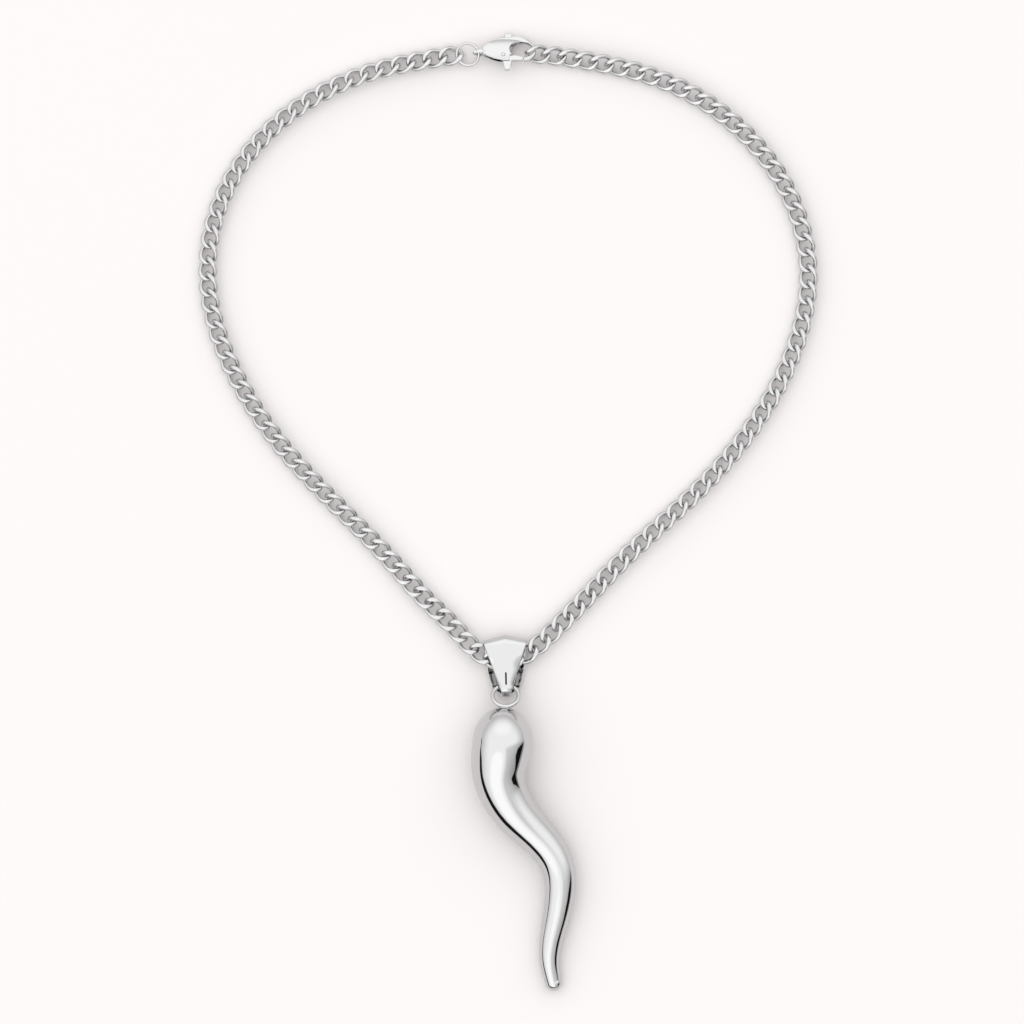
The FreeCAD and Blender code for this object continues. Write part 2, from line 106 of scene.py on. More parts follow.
def evened(rows: np.ndarray, spread: float) -> np.ndarray:
    """Rows with their small unevenness blurred away and their two ends kept.

    Args:
        rows: evenly spaced points of a line.
        spread: the blur's width, in rows.

    Returns:
        As many rows.
    """
    reach = int(3 * spread)
    weights = np.exp(-0.5 * (np.arange(-reach, reach + 1) / spread) ** 2)
    before = 2 * rows[0] - rows[reach:0:-1]
    after = 2 * rows[-1] - rows[-2:-reach - 2:-1]
    long = np.concatenate([before, rows, after])
    columns = [np.convolve(column, weights / weights.sum(), "valid") for column in long.T]
    return np.stack(columns, axis=1)


def chord_lengths(points: np.ndarray) -> np.ndarray:
    """The running length of a line through points, starting at nought."""
    steps = np.linalg.norm(np.diff(points, axis=0), axis=1)
    return np.concatenate([[0.0], np.cumsum(steps)])


def rings_to_mesh(name: str, rings: Rings, closed: bool) -> bpy.types.Object:
    """Joins rings of points, each with as many, into one skin.

    Args:
        name: the object's name.
        rings: the rings in order, in millimetres.
        closed: whether the last ring joins the first; otherwise both ends are capped.

    Returns:
        The object, at the origin, with its points in metres.
    """
    sides = len(rings[0])
    points = np.concatenate(rings) * MM
    faces = []
    spans = len(rings) if closed else len(rings) - 1
    for row in range(spans):
        here = row * sides
        there = (row + 1) % len(rings) * sides
        for side in range(sides):
            beyond = (side + 1) % sides
            faces.append((here + side, here + beyond, there + beyond, there + side))
    if not closed:
        last = (len(rings) - 1) * sides
        faces.append(tuple(reversed(range(sides))))
        faces.append(tuple(range(last, last + sides)))
    mesh = bpy.data.meshes.new(name)
    mesh.from_pydata(points.tolist(), [], faces)
    piece = bpy.data.objects.new(name, mesh)
    bpy.context.scene.collection.objects.link(piece)
    finish_mesh(piece)
    return piece


def finish_mesh(piece: bpy.types.Object) -> None:
    """Turns a closed mesh's faces outwards and shades it smooth.

    Args:
        piece: the object whose mesh is changed.
    """
    shape = bmesh.new()
    shape.from_mesh(piece.data)
    bmesh.ops.remove_doubles(shape, verts=shape.verts, dist=WELD)
    bmesh.ops.recalc_face_normals(shape, faces=shape.faces)
    shape.to_mesh(piece.data)
    shape.free()
    for face in piece.data.polygons:
        face.use_smooth = True


def eased(share: float | np.ndarray) -> float | np.ndarray:
    """A share held between nought and one, with a soft start and finish."""
    share = np.clip(share, 0.0, 1.0)
    return share * share * (3 - 2 * share)


def bearing(degrees: float) -> np.ndarray:
    """The level direction that many degrees from straight down the page, towards the right."""
    return np.array([math.sin(math.radians(degrees)), -math.cos(math.radians(degrees))])


def ring_about(centre: np.ndarray, side: np.ndarray, up: np.ndarray, radius: float,
               sides: int) -> np.ndarray:
    """A circle of points.

    Args:
        centre: its middle.
        side: unit vector towards its first point.
        up: unit vector a quarter turn on.
        radius: its radius.
        sides: how many points.

    Returns:
        One row for each point.
    """
    turn = np.linspace(0, 2 * math.pi, sides, endpoint=False)[:, None]
    return centre + radius * (np.cos(turn) * side + np.sin(turn) * up)


def wire_along(path: np.ndarray, radius: np.ndarray, sides: int, closed: bool) -> Rings:
    """Round sections along a path, turned as little as can be from one to the next.

    Args:
        path: the points of the wire's middle.
        radius: the wire's radius at each point.
        sides: points round the wire.
        closed: whether the path runs round to its start.

    Returns:
        One ring for each point of the path.
    """
    if closed:
        ways = np.roll(path, -1, axis=0) - np.roll(path, 1, axis=0)
    else:
        ways = np.gradient(path, axis=0)
    ways /= np.linalg.norm(ways, axis=1)[:, None]
    side = np.cross(ways[0], UP)
    if np.linalg.norm(side) < NEARLY_NOUGHT:
        side = EAST_FACING
    rings = []
    for point, way, reach in zip(path, ways, radius):
        side = side - way * side.dot(way)
        side /= np.linalg.norm(side)
        rings.append(ring_about(point, side, np.cross(way, side), reach, sides))
    return rings


def ride_as(piece: bpy.types.Object, material: bpy.types.Material, body: str,
            stands_for: Sequence[str] = ()) -> None:
    """Dresses a finished piece and hands it to its body.

    Args:
        piece: the piece, in place.
        material: what it is made of.
        body: the body it moves with.
        stands_for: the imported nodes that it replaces.
    """
    piece.data.materials.clear()
    piece.data.materials.append(material)
    if stands_for:
        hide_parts(*stands_for)
    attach(piece, body)
    LOG.info("%s: %d faces on %s", piece.name, len(piece.data.polygons), body)


# The finishes.


class NodeBuilder:
    """Adds and joins the nodes of one tree."""

    def __init__(self, tree: bpy.types.NodeTree) -> None:
        """Works on the given tree."""
        self.tree = tree

    def add(self, kind: str, links: dict | None = None, **settings: object) -> bpy.types.Node:
        """Adds a node.

        Args:
            kind: the node's type name.
            links: input name or number, to the socket or the value that feeds it.
            settings: the node's own properties.

        Returns:
            The node.
        """
        node = self.tree.nodes.new(kind)
        for name, setting in settings.items():
            setattr(node, name, setting)
        for key, source in (links or {}).items():
            if isinstance(source, bpy.types.NodeSocket):
                self.tree.links.new(source, node.inputs[key])
            else:
                node.inputs[key].default_value = source
        return node

    def math(self, operation: str, first: object, second: object = 0.0,
             third: object = 0.0) -> bpy.types.NodeSocket:
        """The result of one sum on numbers."""
        node = self.add("ShaderNodeMath", {0: first, 1: second, 2: third}, operation=operation)
        return node.outputs[0]

    def ramp(self, source: bpy.types.NodeSocket, low: float, high: float) -> bpy.types.NodeSocket:
        """Nought below low, one above high, and a smooth rise between them."""
        node = self.add("ShaderNodeMapRange", {0: source, 1: low, 2: high, 3: 0.0, 4: 1.0},
                        interpolation_type="SMOOTHSTEP")
        return node.outputs[0]


@dataclass(frozen=True)
class HandlingMarks:
    """The faint unevenness that polished metal keeps from its making and its wear."""

    smear_scale: float = 420.0
    smear_detail: float = 3.0
    smear_roughness: float = 0.6
    smear_edge: Span = (0.42, 0.72)
    ripple_detail: float = 1.0
    scratch_stretch: Triple = (900.0, 140.0, 900.0)
    scratch_turn: Triple = (0.2, 0.1, 0.7)
    scratch_scale: float = 6.0
    scratch_detail: float = 2.0
    scratch_edge: Span = (0.66, 0.74)
    scratch_roughness: float = 0.12
    scratch_depth: float = 0.15

    def group(self) -> bpy.types.NodeTree:
        """The marks as a node group.

        Returns:
            A group that puts out a roughness and a height from a position on the piece.
        """
        tree = bpy.data.node_groups.new("handling_marks", "ShaderNodeTree")
        sockets = (
            ("Position", "INPUT", "NodeSocketVector"), ("Smoothness", "INPUT", "NodeSocketFloat"),
            ("Smear", "INPUT", "NodeSocketFloat"), ("Ripple Size", "INPUT", "NodeSocketFloat"),
            ("Scratch", "INPUT", "NodeSocketFloat"), ("Roughness", "OUTPUT", "NodeSocketFloat"),
            ("Height", "OUTPUT", "NodeSocketFloat"),
        )
        for name, way, kind in sockets:
            tree.interface.new_socket(name=name, in_out=way, socket_type=kind)
        build = NodeBuilder(tree)
        given = build.add("NodeGroupInput").outputs
        smear = build.add("ShaderNodeTexNoise", {
            "Vector": given["Position"], "Scale": self.smear_scale, "Detail": self.smear_detail,
            "Roughness": self.smear_roughness}).outputs["Fac"]
        smear = build.ramp(smear, *self.smear_edge)
        ripple = build.add("ShaderNodeTexNoise", {
            "Vector": given["Position"], "Scale": given["Ripple Size"],
            "Detail": self.ripple_detail}).outputs["Fac"]
        stretch = build.add("ShaderNodeMapping", {
            "Vector": given["Position"], "Scale": self.scratch_stretch, "Rotation": self.scratch_turn})
        scratch = build.add("ShaderNodeTexNoise", {
            "Vector": stretch.outputs[0], "Scale": self.scratch_scale,
            "Detail": self.scratch_detail}).outputs["Fac"]
        scratch = build.ramp(scratch, *self.scratch_edge)
        rough = build.math("MULTIPLY_ADD", smear, given["Smear"], given["Smoothness"])
        worn = build.math("MULTIPLY", scratch, given["Scratch"])
        rough = build.math("MULTIPLY_ADD", worn, self.scratch_roughness, rough)
        groove = build.math("MULTIPLY", given["Scratch"], -self.scratch_depth)
        height = build.math("MULTIPLY_ADD", scratch, groove, ripple)
        build.add("NodeGroupOutput", {"Roughness": rough, "Height": height})
        return tree


@dataclass(frozen=True)
class PolishedSteel:
    """Bright stainless steel: how clear its polish is and how much its making shows."""

    name: str
    shade: Triple = (0.58, 0.58, 0.582)
    smoothness: float = 0.045
    smear: float = 0.03
    ripple_size: float = 260.0
    ripple_depth: float = 0.02
    scratch: float = 0.3

    def material(self, marks: bpy.types.NodeTree) -> bpy.types.Material:
        """The material.

        Args:
            marks: the group that gives its unevenness.

        Returns:
            A new material.
        """
        made = bpy.data.materials.new(self.name)
        made.use_nodes = True
        tree = made.node_tree
        tree.nodes.clear()
        build = NodeBuilder(tree)
        place = build.add("ShaderNodeTexCoord").outputs["Object"]
        group = build.add("ShaderNodeGroup", node_tree=marks)
        tree.links.new(place, group.inputs["Position"])
        group.inputs["Smoothness"].default_value = self.smoothness
        group.inputs["Smear"].default_value = self.smear
        group.inputs["Ripple Size"].default_value = self.ripple_size
        group.inputs["Scratch"].default_value = self.scratch
        bump = build.add("ShaderNodeBump", {
            "Strength": 1.0, "Distance": self.ripple_depth * MM, "Height": group.outputs["Height"]})
        metal = build.add("ShaderNodeBsdfPrincipled", {
            "Base Color": (*self.shade, 1.0), "Metallic": 1.0,
            "Roughness": group.outputs["Roughness"], "Normal": bump.outputs[0]})
        build.add("ShaderNodeOutputMaterial", {"Surface": metal.outputs[0]})
        return made


@dataclass(frozen=True)
class PlainPaint:
    """A matt painted surface, for the floor."""

    name: str
    shade: Triple
    roughness: float = 0.9
    gloss: float = 0.1

    def material(self) -> bpy.types.Material:
        """The material.

        Returns:
            A new material.
        """
        made = bpy.data.materials.new(self.name)
        made.use_nodes = True
        paint = made.node_tree.nodes["Principled BSDF"]
        paint.inputs["Base Color"].default_value = (*self.shade, 1.0)
        paint.inputs["Roughness"].default_value = self.roughness
        paint.inputs["Specular IOR Level"].default_value = self.gloss
        return made


# The horn.


@dataclass
class Horn:
    """The horn: round sections along a winding middle line, a domed head and a round tip."""

    sections: tuple[Triple, ...] = (
        (-1.15, -53.4, 7.24), (-1.2, -56.4, 7.70), (-2.0, -60.1, 7.33), (-2.5, -64.8, 6.57),
        (-1.5, -68.1, 6.13), (0.9, -72.6, 5.69), (6.0, -78.1, 4.90), (10.1, -82.4, 4.41),
        (12.8, -88.1, 4.00), (12.9, -92.3, 3.86), (11.5, -100.5, 3.23), (9.9, -109.4, 2.56),
        (11.1, -115.3, 2.08),
    )
    head_lean: float = -1.0
    tip_turn: float = 26.0
    dome: float = 8.8
    evening: float = 2.8
    turning: float = 9.0
    rows: int = 260
    sides: int = 128
    dome_rows: int = 48
    dome_angles: Span = (89.0, 2.0)
    tip_rows: int = 24
    tip_angles: Span = (4.0, 89.0)
    loop_centre: Triple = (-0.66, -44.95, 5.10)
    loop_radius: float = 3.22
    loop_wire: float = 1.04
    loop_tilt: float = 37.0
    loop_rows: int = 120
    loop_sides: int = 24

    def middle_line(self) -> tuple[np.ndarray, np.ndarray]:
        """The horn's middle line from the dome's foot to the tip.

        The line is read from the section above the dome's foot on, so that it enters the dome
        evenly, and is then kept from the foot on.

        Returns:
            Rows of x, y and radius, and the line's direction at each row.
        """
        table = np.array(self.sections)
        knots = chord_lengths(table[:, :2])
        where = np.linspace(0, knots[-1], self.rows)
        line = evened(smooth_through(knots, table, where), self.evening / (where[1] - where[0]))
        line = line[where >= knots[1]]
        where = where[where >= knots[1]] - knots[1]
        ways = np.gradient(line[:, :2], axis=0)
        ways /= np.linalg.norm(ways, axis=1)[:, None]
        ends = ((bearing(self.head_lean), where), (bearing(self.tip_turn), where[-1] - where))
        for end, distance in ends:
            share = eased(1 - distance / self.turning)[:, None]
            ways = ways * (1 - share) + end * share
            ways /= np.linalg.norm(ways, axis=1)[:, None]
        return line, ways

    def rings(self) -> Rings:
        """The horn's round sections.

        Returns:
            One ring for each section, from the head's pole to the tip's.
        """
        line, ways = self.middle_line()
        first, last = bearing(self.head_lean), bearing(self.tip_turn)
        made: Rings = []
        x, y, radius = line[0]
        for angle in np.radians(np.linspace(*self.dome_angles, self.dome_rows)):
            place = np.array([x, y]) - first * self.dome * math.sin(angle)
            made.append(self.section(place, first, radius, radius * math.cos(angle)))
        for (x, y, radius), way in zip(line, ways):
            made.append(self.section(np.array([x, y]), way, radius, radius))
        x, y, radius = line[-1]
        for angle in np.radians(np.linspace(*self.tip_angles, self.tip_rows)):
            place = np.array([x, y]) + last * radius * math.sin(angle)
            made.append(self.section(place, last, radius, radius * math.cos(angle)))
        return made

    def section(self, place: np.ndarray, way: np.ndarray, height: float, radius: float) -> np.ndarray:
        """One upright round section.

        Args:
            place: where its middle lies on the surface.
            way: the direction that the horn runs in there.
            height: how high its middle is.
            radius: its radius.

        Returns:
            Its points.
        """
        side = np.array([-way[1], way[0], 0.0])
        return ring_about(np.array([*place, height]), side, UP, radius, self.sides)

    def loop_rings(self) -> Rings:
        """The wire loop that is soldered to the head.

        Returns:
            The sections of its wire.
        """
        turn = np.linspace(0, 2 * math.pi, self.loop_rows, endpoint=False)
        lean = math.radians(self.loop_tilt)
        path = np.stack([
            np.sin(turn), -np.cos(turn) * math.cos(lean), np.cos(turn) * math.sin(lean)], axis=1)
        path = path * self.loop_radius + np.array(self.loop_centre)
        radius = np.full(len(path), self.loop_wire / 2)
        return wire_along(path, radius, self.loop_sides, closed=True)

    def build(self, metal: bpy.types.Material) -> None:
        """Makes the horn and its loop.

        Args:
            metal: what both are made of.
        """
        horn = rings_to_mesh("horn_body", self.rings(), closed=False)
        ride_as(horn, metal, NECKLACE, ["horn"])
        loop = rings_to_mesh("horn_loop", self.loop_rings(), closed=True)
        ride_as(loop, metal, NECKLACE)


# The bail.


@dataclass
class Bail:
    """The bail: a folded band, gabled at its wide fold, that tapers to its narrow fold."""

    place: Triple = (-0.47, -45.4, 3.04)
    yaw: float = 1.5
    roll: float = -2.5
    length: float = 15.3
    width: float = 10.5
    sheet: float = 0.65
    gap: float = 3.4
    gable: float = 1.1
    crown: float = 0.30
    pillow: float = 0.25
    arch: float = 0.5
    arch_start: Span = (0.5, 3.5)
    arch_reach: Span = (7.0, 10.5)
    curl: float = 0.5
    curl_width: float = 1.3
    slit: Span = (3.2, 5.9)
    slit_width: float = 0.42
    slit_depths: Span = (0.3, -0.03)
    slit_rows: int = 9
    upper: tuple[Span, ...] = ((1.05, 0.0), (1.1, 0.8), (1.6, 2.3), (5.25, 13.95))
    lower: tuple[Span, ...] = (
        (1.05, 0.0), (1.9, 0.7), (2.8, 1.6), (3.5, 2.8), (4.1, 4.6), (4.55, 7.0), (5.25, 13.9))
    across: int = 28
    edge_rows: int = 8
    flat_rows: int = 70
    fold_rows: int = 40
    edge_round: float = 0.2

    def half_width(self, along: float, outline: tuple[Span, ...]) -> float:
        """How far a leaf reaches from its middle at a place along it."""
        return float(np.interp(along, [y for _, y in outline], [x for x, _ in outline]))

    def stations(self) -> list[Span]:
        """Places round the band.

        Returns:
            For each, the share along the flat and the angle of the fold.
        """
        made = []
        for share in np.linspace(0, 1, self.flat_rows, endpoint=False):
            made.append((share, 90.0))
        for angle in np.linspace(90, -90, self.fold_rows, endpoint=False):
            made.append((1.0, angle))
        for share in np.linspace(1, 0, self.flat_rows, endpoint=False):
            made.append((share, -90.0))
        for angle in np.linspace(270, 90, self.fold_rows, endpoint=False):
            made.append((0.0, angle))
        return made

    def point(self, share: float, angle: float, x: float, depth: float, half: float) -> Triple:
        """A point of the band in its own frame.

        Args:
            share: place along the flat between the two folds' centres.
            angle: direction out of the fold's centre, in degrees.
            x: place across the band.
            depth: how far below the outer face, in millimetres.
            half: half the band's width there.

        Returns:
            Its coordinates across, along and up.
        """
        aside = abs(x) / (self.width / 2)
        over = min(1.0, abs(x) / half)
        drop = self.crown * aside ** 2
        outer = self.gap / 2 + self.sheet - drop
        last = self.length - self.gable * aside - outer
        turn = math.radians(angle)
        along = outer + (last - outer) * share
        place = along + outer * math.cos(turn)
        low, high = self.arch_reach
        free = 1 - eased((place - low) / (high - low))
        low, high = self.arch_start
        free *= eased((place - low) / (high - low))
        bent = self.arch * over ** 2 * free * max(0.0, math.sin(turn))
        rim = eased(1 - (half - abs(x)) / self.curl_width)
        bent += self.curl * rim * free * max(0.0, -math.sin(turn))
        thinned = self.pillow * over ** 2 * (1 - depth / self.sheet)
        reach = outer - depth - thinned - bent
        return x, along + reach * math.cos(turn), reach * math.sin(turn)

    def build(self, metal: bpy.types.Material, shadow: bpy.types.Material) -> None:
        """Makes the bail.

        Args:
            metal: what the band is made of.
            shadow: near-black metal for the slit: painted shade, standing for the shadow inside it.
        """
        rings: Rings = []
        for share, angle in self.stations():
            _, place, _ = self.point(share, angle, 0.0, 0.0, self.width)
            up = math.sin(math.radians(angle))
            wide_up = self.half_width(place, self.upper)
            wide_down = self.half_width(place, self.lower)
            blend = min(1.0, max(0.0, 0.5 + 0.5 * up))
            half = wide_up * blend + wide_down * (1 - blend)
            rings.append(self.rib(share, angle, half))
        yaw = Matrix.Rotation(math.radians(self.yaw), 4, "Z")
        roll = Matrix.Rotation(math.radians(self.roll), 4, "X")
        put = np.array(Matrix.Translation(self.place) @ (yaw @ roll))
        placed = [ring @ put[:3, :3].T + put[:3, 3] for ring in rings]
        bail = rings_to_mesh("bail_band", placed, closed=True)
        ride_as(bail, metal, NECKLACE, ["bail"])
        # painted shade: a near-black bar sits where the inside of the slit lies in shadow
        ride_as(self.painted_slit_shadow_bar(put), shadow, NECKLACE)

    def rib(self, share: float, angle: float, half: float) -> np.ndarray:
        """The section across the band: two faces joined by rounded edges.

        Args:
            share: place along the flat between the two folds' centres.
            angle: direction out of the fold's centre, in degrees.
            half: half the band's width there.

        Returns:
            Its points.
        """
        flat = half - self.edge_round
        xs, depths = [], []
        for x in np.linspace(-flat, flat, self.across):
            xs.append(x)
            depths.append(0.0)
        for turn in np.linspace(0, math.pi, self.edge_rows + 2)[1:-1]:
            xs.append(flat + self.edge_round * math.sin(turn))
            depths.append(self.sheet / 2 * (1 - math.cos(turn)))
        for x in np.linspace(flat, -flat, self.across):
            xs.append(x)
            depths.append(self.sheet)
        for turn in np.linspace(math.pi, 0, self.edge_rows + 2)[1:-1]:
            xs.append(-flat - self.edge_round * math.sin(turn))
            depths.append(self.sheet / 2 * (1 - math.cos(turn)))
        return np.array([self.point(share, angle, x, depth, half) for x, depth in zip(xs, depths)])

    def painted_slit_shadow_bar(self, put: np.ndarray) -> bpy.types.Object:
        """A round-ended near-black bar, let into the upper leaf: painted shade that shows as the shadow
        inside its short slit.

        Args:
            put: the bail's place.

        Returns:
            The bar, in place.
        """
        start, finish = self.slit
        radius = self.slit_width / 2
        top = self.gap / 2 + self.sheet
        outline = []
        for middle, low, high in ((finish, 0.0, math.pi), (start, math.pi, 2 * math.pi)):
            for turn in np.linspace(low, high, self.slit_rows):
                outline.append((radius * math.cos(turn), middle + radius * math.sin(turn)))
        rings = [np.array([(x, y, top - depth) for x, y in outline])
                 for depth in self.slit_depths]
        placed = [ring @ put[:3, :3].T + put[:3, 3] for ring in rings]
        return rings_to_mesh("bail_painted_slit_shadow", placed, closed=False)


# The chain.


@dataclass
class CurbChain:
    """The curb chain: equal twisted links along a route, each through the next."""

    route: tuple[Triple, ...] = (
        (7.15, 112.15, 0.52), (12.0, 111.65, 0.10), (17.6, 110.8, 0.0), (29.5, 108.4, 0.0),
        (41.0, 104.4, 0.0), (51.5, 98.2, 0.0), (60.5, 90.0, 0.0), (67.5, 80.2, 0.0),
        (72.0, 69.0, 0.0), (73.5, 57.0, 0.0), (71.7, 45.2, 0.0), (67.5, 33.8, 0.0),
        (61.5, 23.3, 0.0), (54.2, 13.6, 0.0), (46.0, 4.8, 0.0), (37.0, -3.5, 0.0),
        (28.0, -11.8, 0.0), (19.6, -20.5, 0.0), (11.9, -28.3, 0.17), (9.0, -31.1, 0.52),
        (6.1, -33.6, 0.72), (2.7, -35.6, 0.77), (-0.9, -36.3, 0.77), (-4.6, -35.8, 0.77),
        (-7.9, -33.9, 0.72), (-10.6, -31.3, 0.47), (-13.1, -28.5, 0.12), (-20.3, -21.4, 0.0),
        (-28.2, -12.6, 0.0), (-36.6, -3.8, 0.0), (-45.2, 4.8, 0.0), (-53.5, 13.7, 0.0),
        (-60.9, 23.4, 0.0), (-67.0, 33.8, 0.0), (-71.5, 45.0, 0.0), (-73.6, 57.0, 0.0),
        (-72.6, 69.0, 0.0), (-68.4, 80.4, 0.0), (-61.5, 90.3, 0.0), (-52.5, 98.4, 0.0),
        (-42.0, 104.5, 0.0), (-30.6, 108.6, 0.0), (-18.7, 111.0, -0.22), (-14.05, 111.75, -0.33),
    )
    rise: float = 1.90
    pitch: float = 3.95
    wire: float = 1.12
    reach: float = 2.72
    spread: float = 2.0
    twist: float = 45.0
    roll_step: float = 3.5
    roll_most: float = 28.0
    ring_roll: float = -12.0
    level_links: tuple[int, int] = (51, 60)
    bends: int = 40
    sides: int = 20
    ground_height: float = 1.12
    ground_width: float = 2.44
    ground_edge: float = 30.0
    line_rows: int = 6000

    def stations(self) -> tuple[np.ndarray, np.ndarray]:
        """Where each link lies.

        Returns:
            The links' middles, and their turns as Euler angles.
        """
        table = np.array(self.route) + np.array([0.0, 0.0, self.rise])
        knots = chord_lengths(table)
        line = smooth_through(knots, table, np.linspace(0, knots[-1], self.line_rows))
        along = chord_lengths(line)
        count = round(along[-1] / self.pitch) + 1
        where = np.linspace(0, along[-1], count)
        places = np.stack([np.interp(where, along, line[:, axis]) for axis in range(3)], axis=1)
        ways = np.gradient(line, axis=0)
        ways = np.stack([np.interp(where, along, ways[:, axis]) for axis in range(3)], axis=1)
        turns = []
        for number, way in enumerate(ways):
            forward = Vector(way).normalized()
            left = Vector((0, 0, 1)).cross(forward).normalized()
            upright = Matrix((forward, left, forward.cross(left))).transposed()
            roll = Matrix.Rotation(math.radians(self.roll_of(number, count)), 3, "X")
            turns.append(list((upright @ roll).to_euler("XYZ")))
        return places, np.array(turns)

    def roll_of(self, number: int, count: int) -> float:
        """How far a link is turned about its length.

        Args:
            number: the link's number, from the clasp's hook on.
            count: how many links there are.

        Returns:
            The turn, in degrees.
        """
        before = max(0, self.level_links[0] - number)
        after = max(0, number - self.level_links[1])
        by_bail = max(-self.roll_most, min(self.roll_most, self.roll_step * (before - after)))
        by_ring = self.ring_roll - self.roll_step * (count - 1 - number)
        return max(by_bail, by_ring)

    def link_tree(self) -> bpy.types.NodeTree:
        """A Geometry Nodes tree that puts one twisted link at each point.

        A link is an oval of wire, twisted about its length, with its outermost sides ground
        flat. Its sides stop at the ground limit, and its length is left as it is.

        Returns:
            The tree.
        """
        tree = bpy.data.node_groups.new("curb_links", "GeometryNodeTree")
        sockets = (
            ("Stations", "INPUT", "NodeSocketGeometry"), ("Half Length", "INPUT", "NodeSocketFloat"),
            ("Half Width", "INPUT", "NodeSocketFloat"), ("Twist", "INPUT", "NodeSocketFloat"),
            ("Wire Radius", "INPUT", "NodeSocketFloat"), ("Bends", "INPUT", "NodeSocketInt"),
            ("Sides", "INPUT", "NodeSocketInt"), ("Ground Limit", "INPUT", "NodeSocketVector"),
            ("Metal", "INPUT", "NodeSocketMaterial"), ("Links", "OUTPUT", "NodeSocketGeometry"),
        )
        for name, way, kind in sockets:
            tree.interface.new_socket(name=name, in_out=way, socket_type=kind)
        build = NodeBuilder(tree)
        given = build.add("NodeGroupInput").outputs
        oval = build.add("GeometryNodeCurvePrimitiveCircle", {
            "Resolution": given["Bends"], "Radius": 1.0})
        position = build.add("GeometryNodeInputPosition").outputs[0]
        here = build.add("ShaderNodeSeparateXYZ", {0: position}).outputs
        lean = build.math("MULTIPLY", here[0], given["Twist"])
        aside = build.math("MULTIPLY", here[1], given["Half Width"])
        against = build.math("MULTIPLY", aside, -1.0)
        bent = build.add("ShaderNodeCombineXYZ", {
            0: build.math("MULTIPLY", here[0], given["Half Length"]),
            1: build.math("MULTIPLY", aside, build.math("COSINE", lean)),
            2: build.math("MULTIPLY", against, build.math("SINE", lean))})
        middle = build.add("GeometryNodeSetPosition", {
            "Geometry": oval.outputs["Curve"], "Position": bent.outputs[0]})
        profile = build.add("GeometryNodeCurvePrimitiveCircle", {
            "Resolution": given["Sides"], "Radius": given["Wire Radius"]})
        link = build.add("GeometryNodeCurveToMesh", {
            "Curve": middle.outputs[0], "Profile Curve": profile.outputs["Curve"]})
        highest = given["Ground Limit"]
        lowest = build.add("ShaderNodeVectorMath", {0: highest, 1: (-1.0, -1.0, -1.0)},
                           operation="MULTIPLY").outputs[0]
        under = build.add("ShaderNodeVectorMath", {0: position, 1: highest},
                          operation="MINIMUM").outputs[0]
        held = build.add("ShaderNodeVectorMath", {0: under, 1: lowest}, operation="MAXIMUM")
        ground = build.add("GeometryNodeSetPosition", {
            "Geometry": link.outputs[0], "Position": held.outputs[0]})
        smooth = build.add("GeometryNodeSetShadeSmooth", {"Geometry": ground.outputs[0]})
        turn = build.add("GeometryNodeInputNamedAttribute", {"Name": "link_turn"},
                         data_type="FLOAT_VECTOR")
        rotation = build.add("FunctionNodeEulerToRotation", {0: turn.outputs["Attribute"]})
        placed = build.add("GeometryNodeInstanceOnPoints", {
            "Points": given["Stations"], "Instance": smooth.outputs[0],
            "Rotation": rotation.outputs[0]})
        solid = build.add("GeometryNodeRealizeInstances", {"Geometry": placed.outputs[0]})
        dressed = build.add("GeometryNodeSetMaterial", {
            "Geometry": solid.outputs[0], "Material": given["Metal"]})
        build.add("NodeGroupOutput", {0: dressed.outputs[0]})
        return tree

    def build(self, metal: bpy.types.Material) -> None:
        """Makes the whole chain.

        Args:
            metal: what its links are made of.
        """
        places, turns = self.stations()
        points = bpy.data.meshes.new("link_stations")
        points.from_pydata((places * MM).tolist(), [], [])
        points.attributes.new("link_turn", "FLOAT_VECTOR", "POINT").data.foreach_set(
            "vector", turns.astype(np.float32).ravel())
        holder = bpy.data.objects.new("link_stations", points)
        bpy.context.scene.collection.objects.link(holder)
        tree = self.link_tree()
        unground = 2 * self.reach
        modifier = holder.modifiers.new("links", "NODES")
        modifier.node_group = tree
        values = {
            "Half Length": self.reach * MM, "Half Width": self.spread * MM,
            "Twist": math.radians(self.twist), "Wire Radius": self.wire / 2 * MM,
            "Bends": self.bends, "Sides": self.sides, "Metal": metal,
            "Ground Limit": (unground * MM, self.ground_width * MM, self.ground_height * MM)}
        for item in tree.interface.items_tree:
            if item.item_type == "SOCKET" and item.name in values:
                modifier[item.identifier] = values[item.name]
        graph = bpy.context.evaluated_depsgraph_get()
        mesh = bpy.data.meshes.new_from_object(holder.evaluated_get(graph))
        mesh.name = "curb_links"
        bpy.data.objects.remove(holder)
        chain = bpy.data.objects.new("curb_links", mesh)
        bpy.context.scene.collection.objects.link(chain)
        finish_mesh(chain)
        chain.data.set_sharp_from_angle(angle=math.radians(self.ground_edge))
        LOG.info("%d links", len(places))
        ride_as(chain, metal, NECKLACE, ["curb_chain"])


# The clasp.


@dataclass
class JumpRing:
    """The round ring between the chain and the clasp's tail."""

    centre: Triple = (-9.95, 112.1, 2.06)
    pitch: float = -9.4
    bank: float = 15.0
    radius: float = 2.75
    wire: float = 0.72
    rows: int = 96
    sides: int = 20

    def build(self, metal: bpy.types.Material) -> None:
        """Makes the ring.

        Args:
            metal: what it is made of.
        """
        turn = np.linspace(0, 2 * math.pi, self.rows, endpoint=False)
        flat = np.stack([np.cos(turn), np.sin(turn), np.zeros_like(turn)], axis=1) * self.radius
        pitch = Matrix.Rotation(math.radians(self.pitch), 3, "Y")
        bank = Matrix.Rotation(math.radians(self.bank), 3, "X")
        path = flat @ np.array(pitch @ bank).T + np.array(self.centre)
        rings = wire_along(path, np.full(len(path), self.wire / 2), self.sides, closed=True)
        ring = rings_to_mesh("round_ring", rings, closed=True)
        ride_as(ring, metal, NECKLACE, ["jump_ring"])


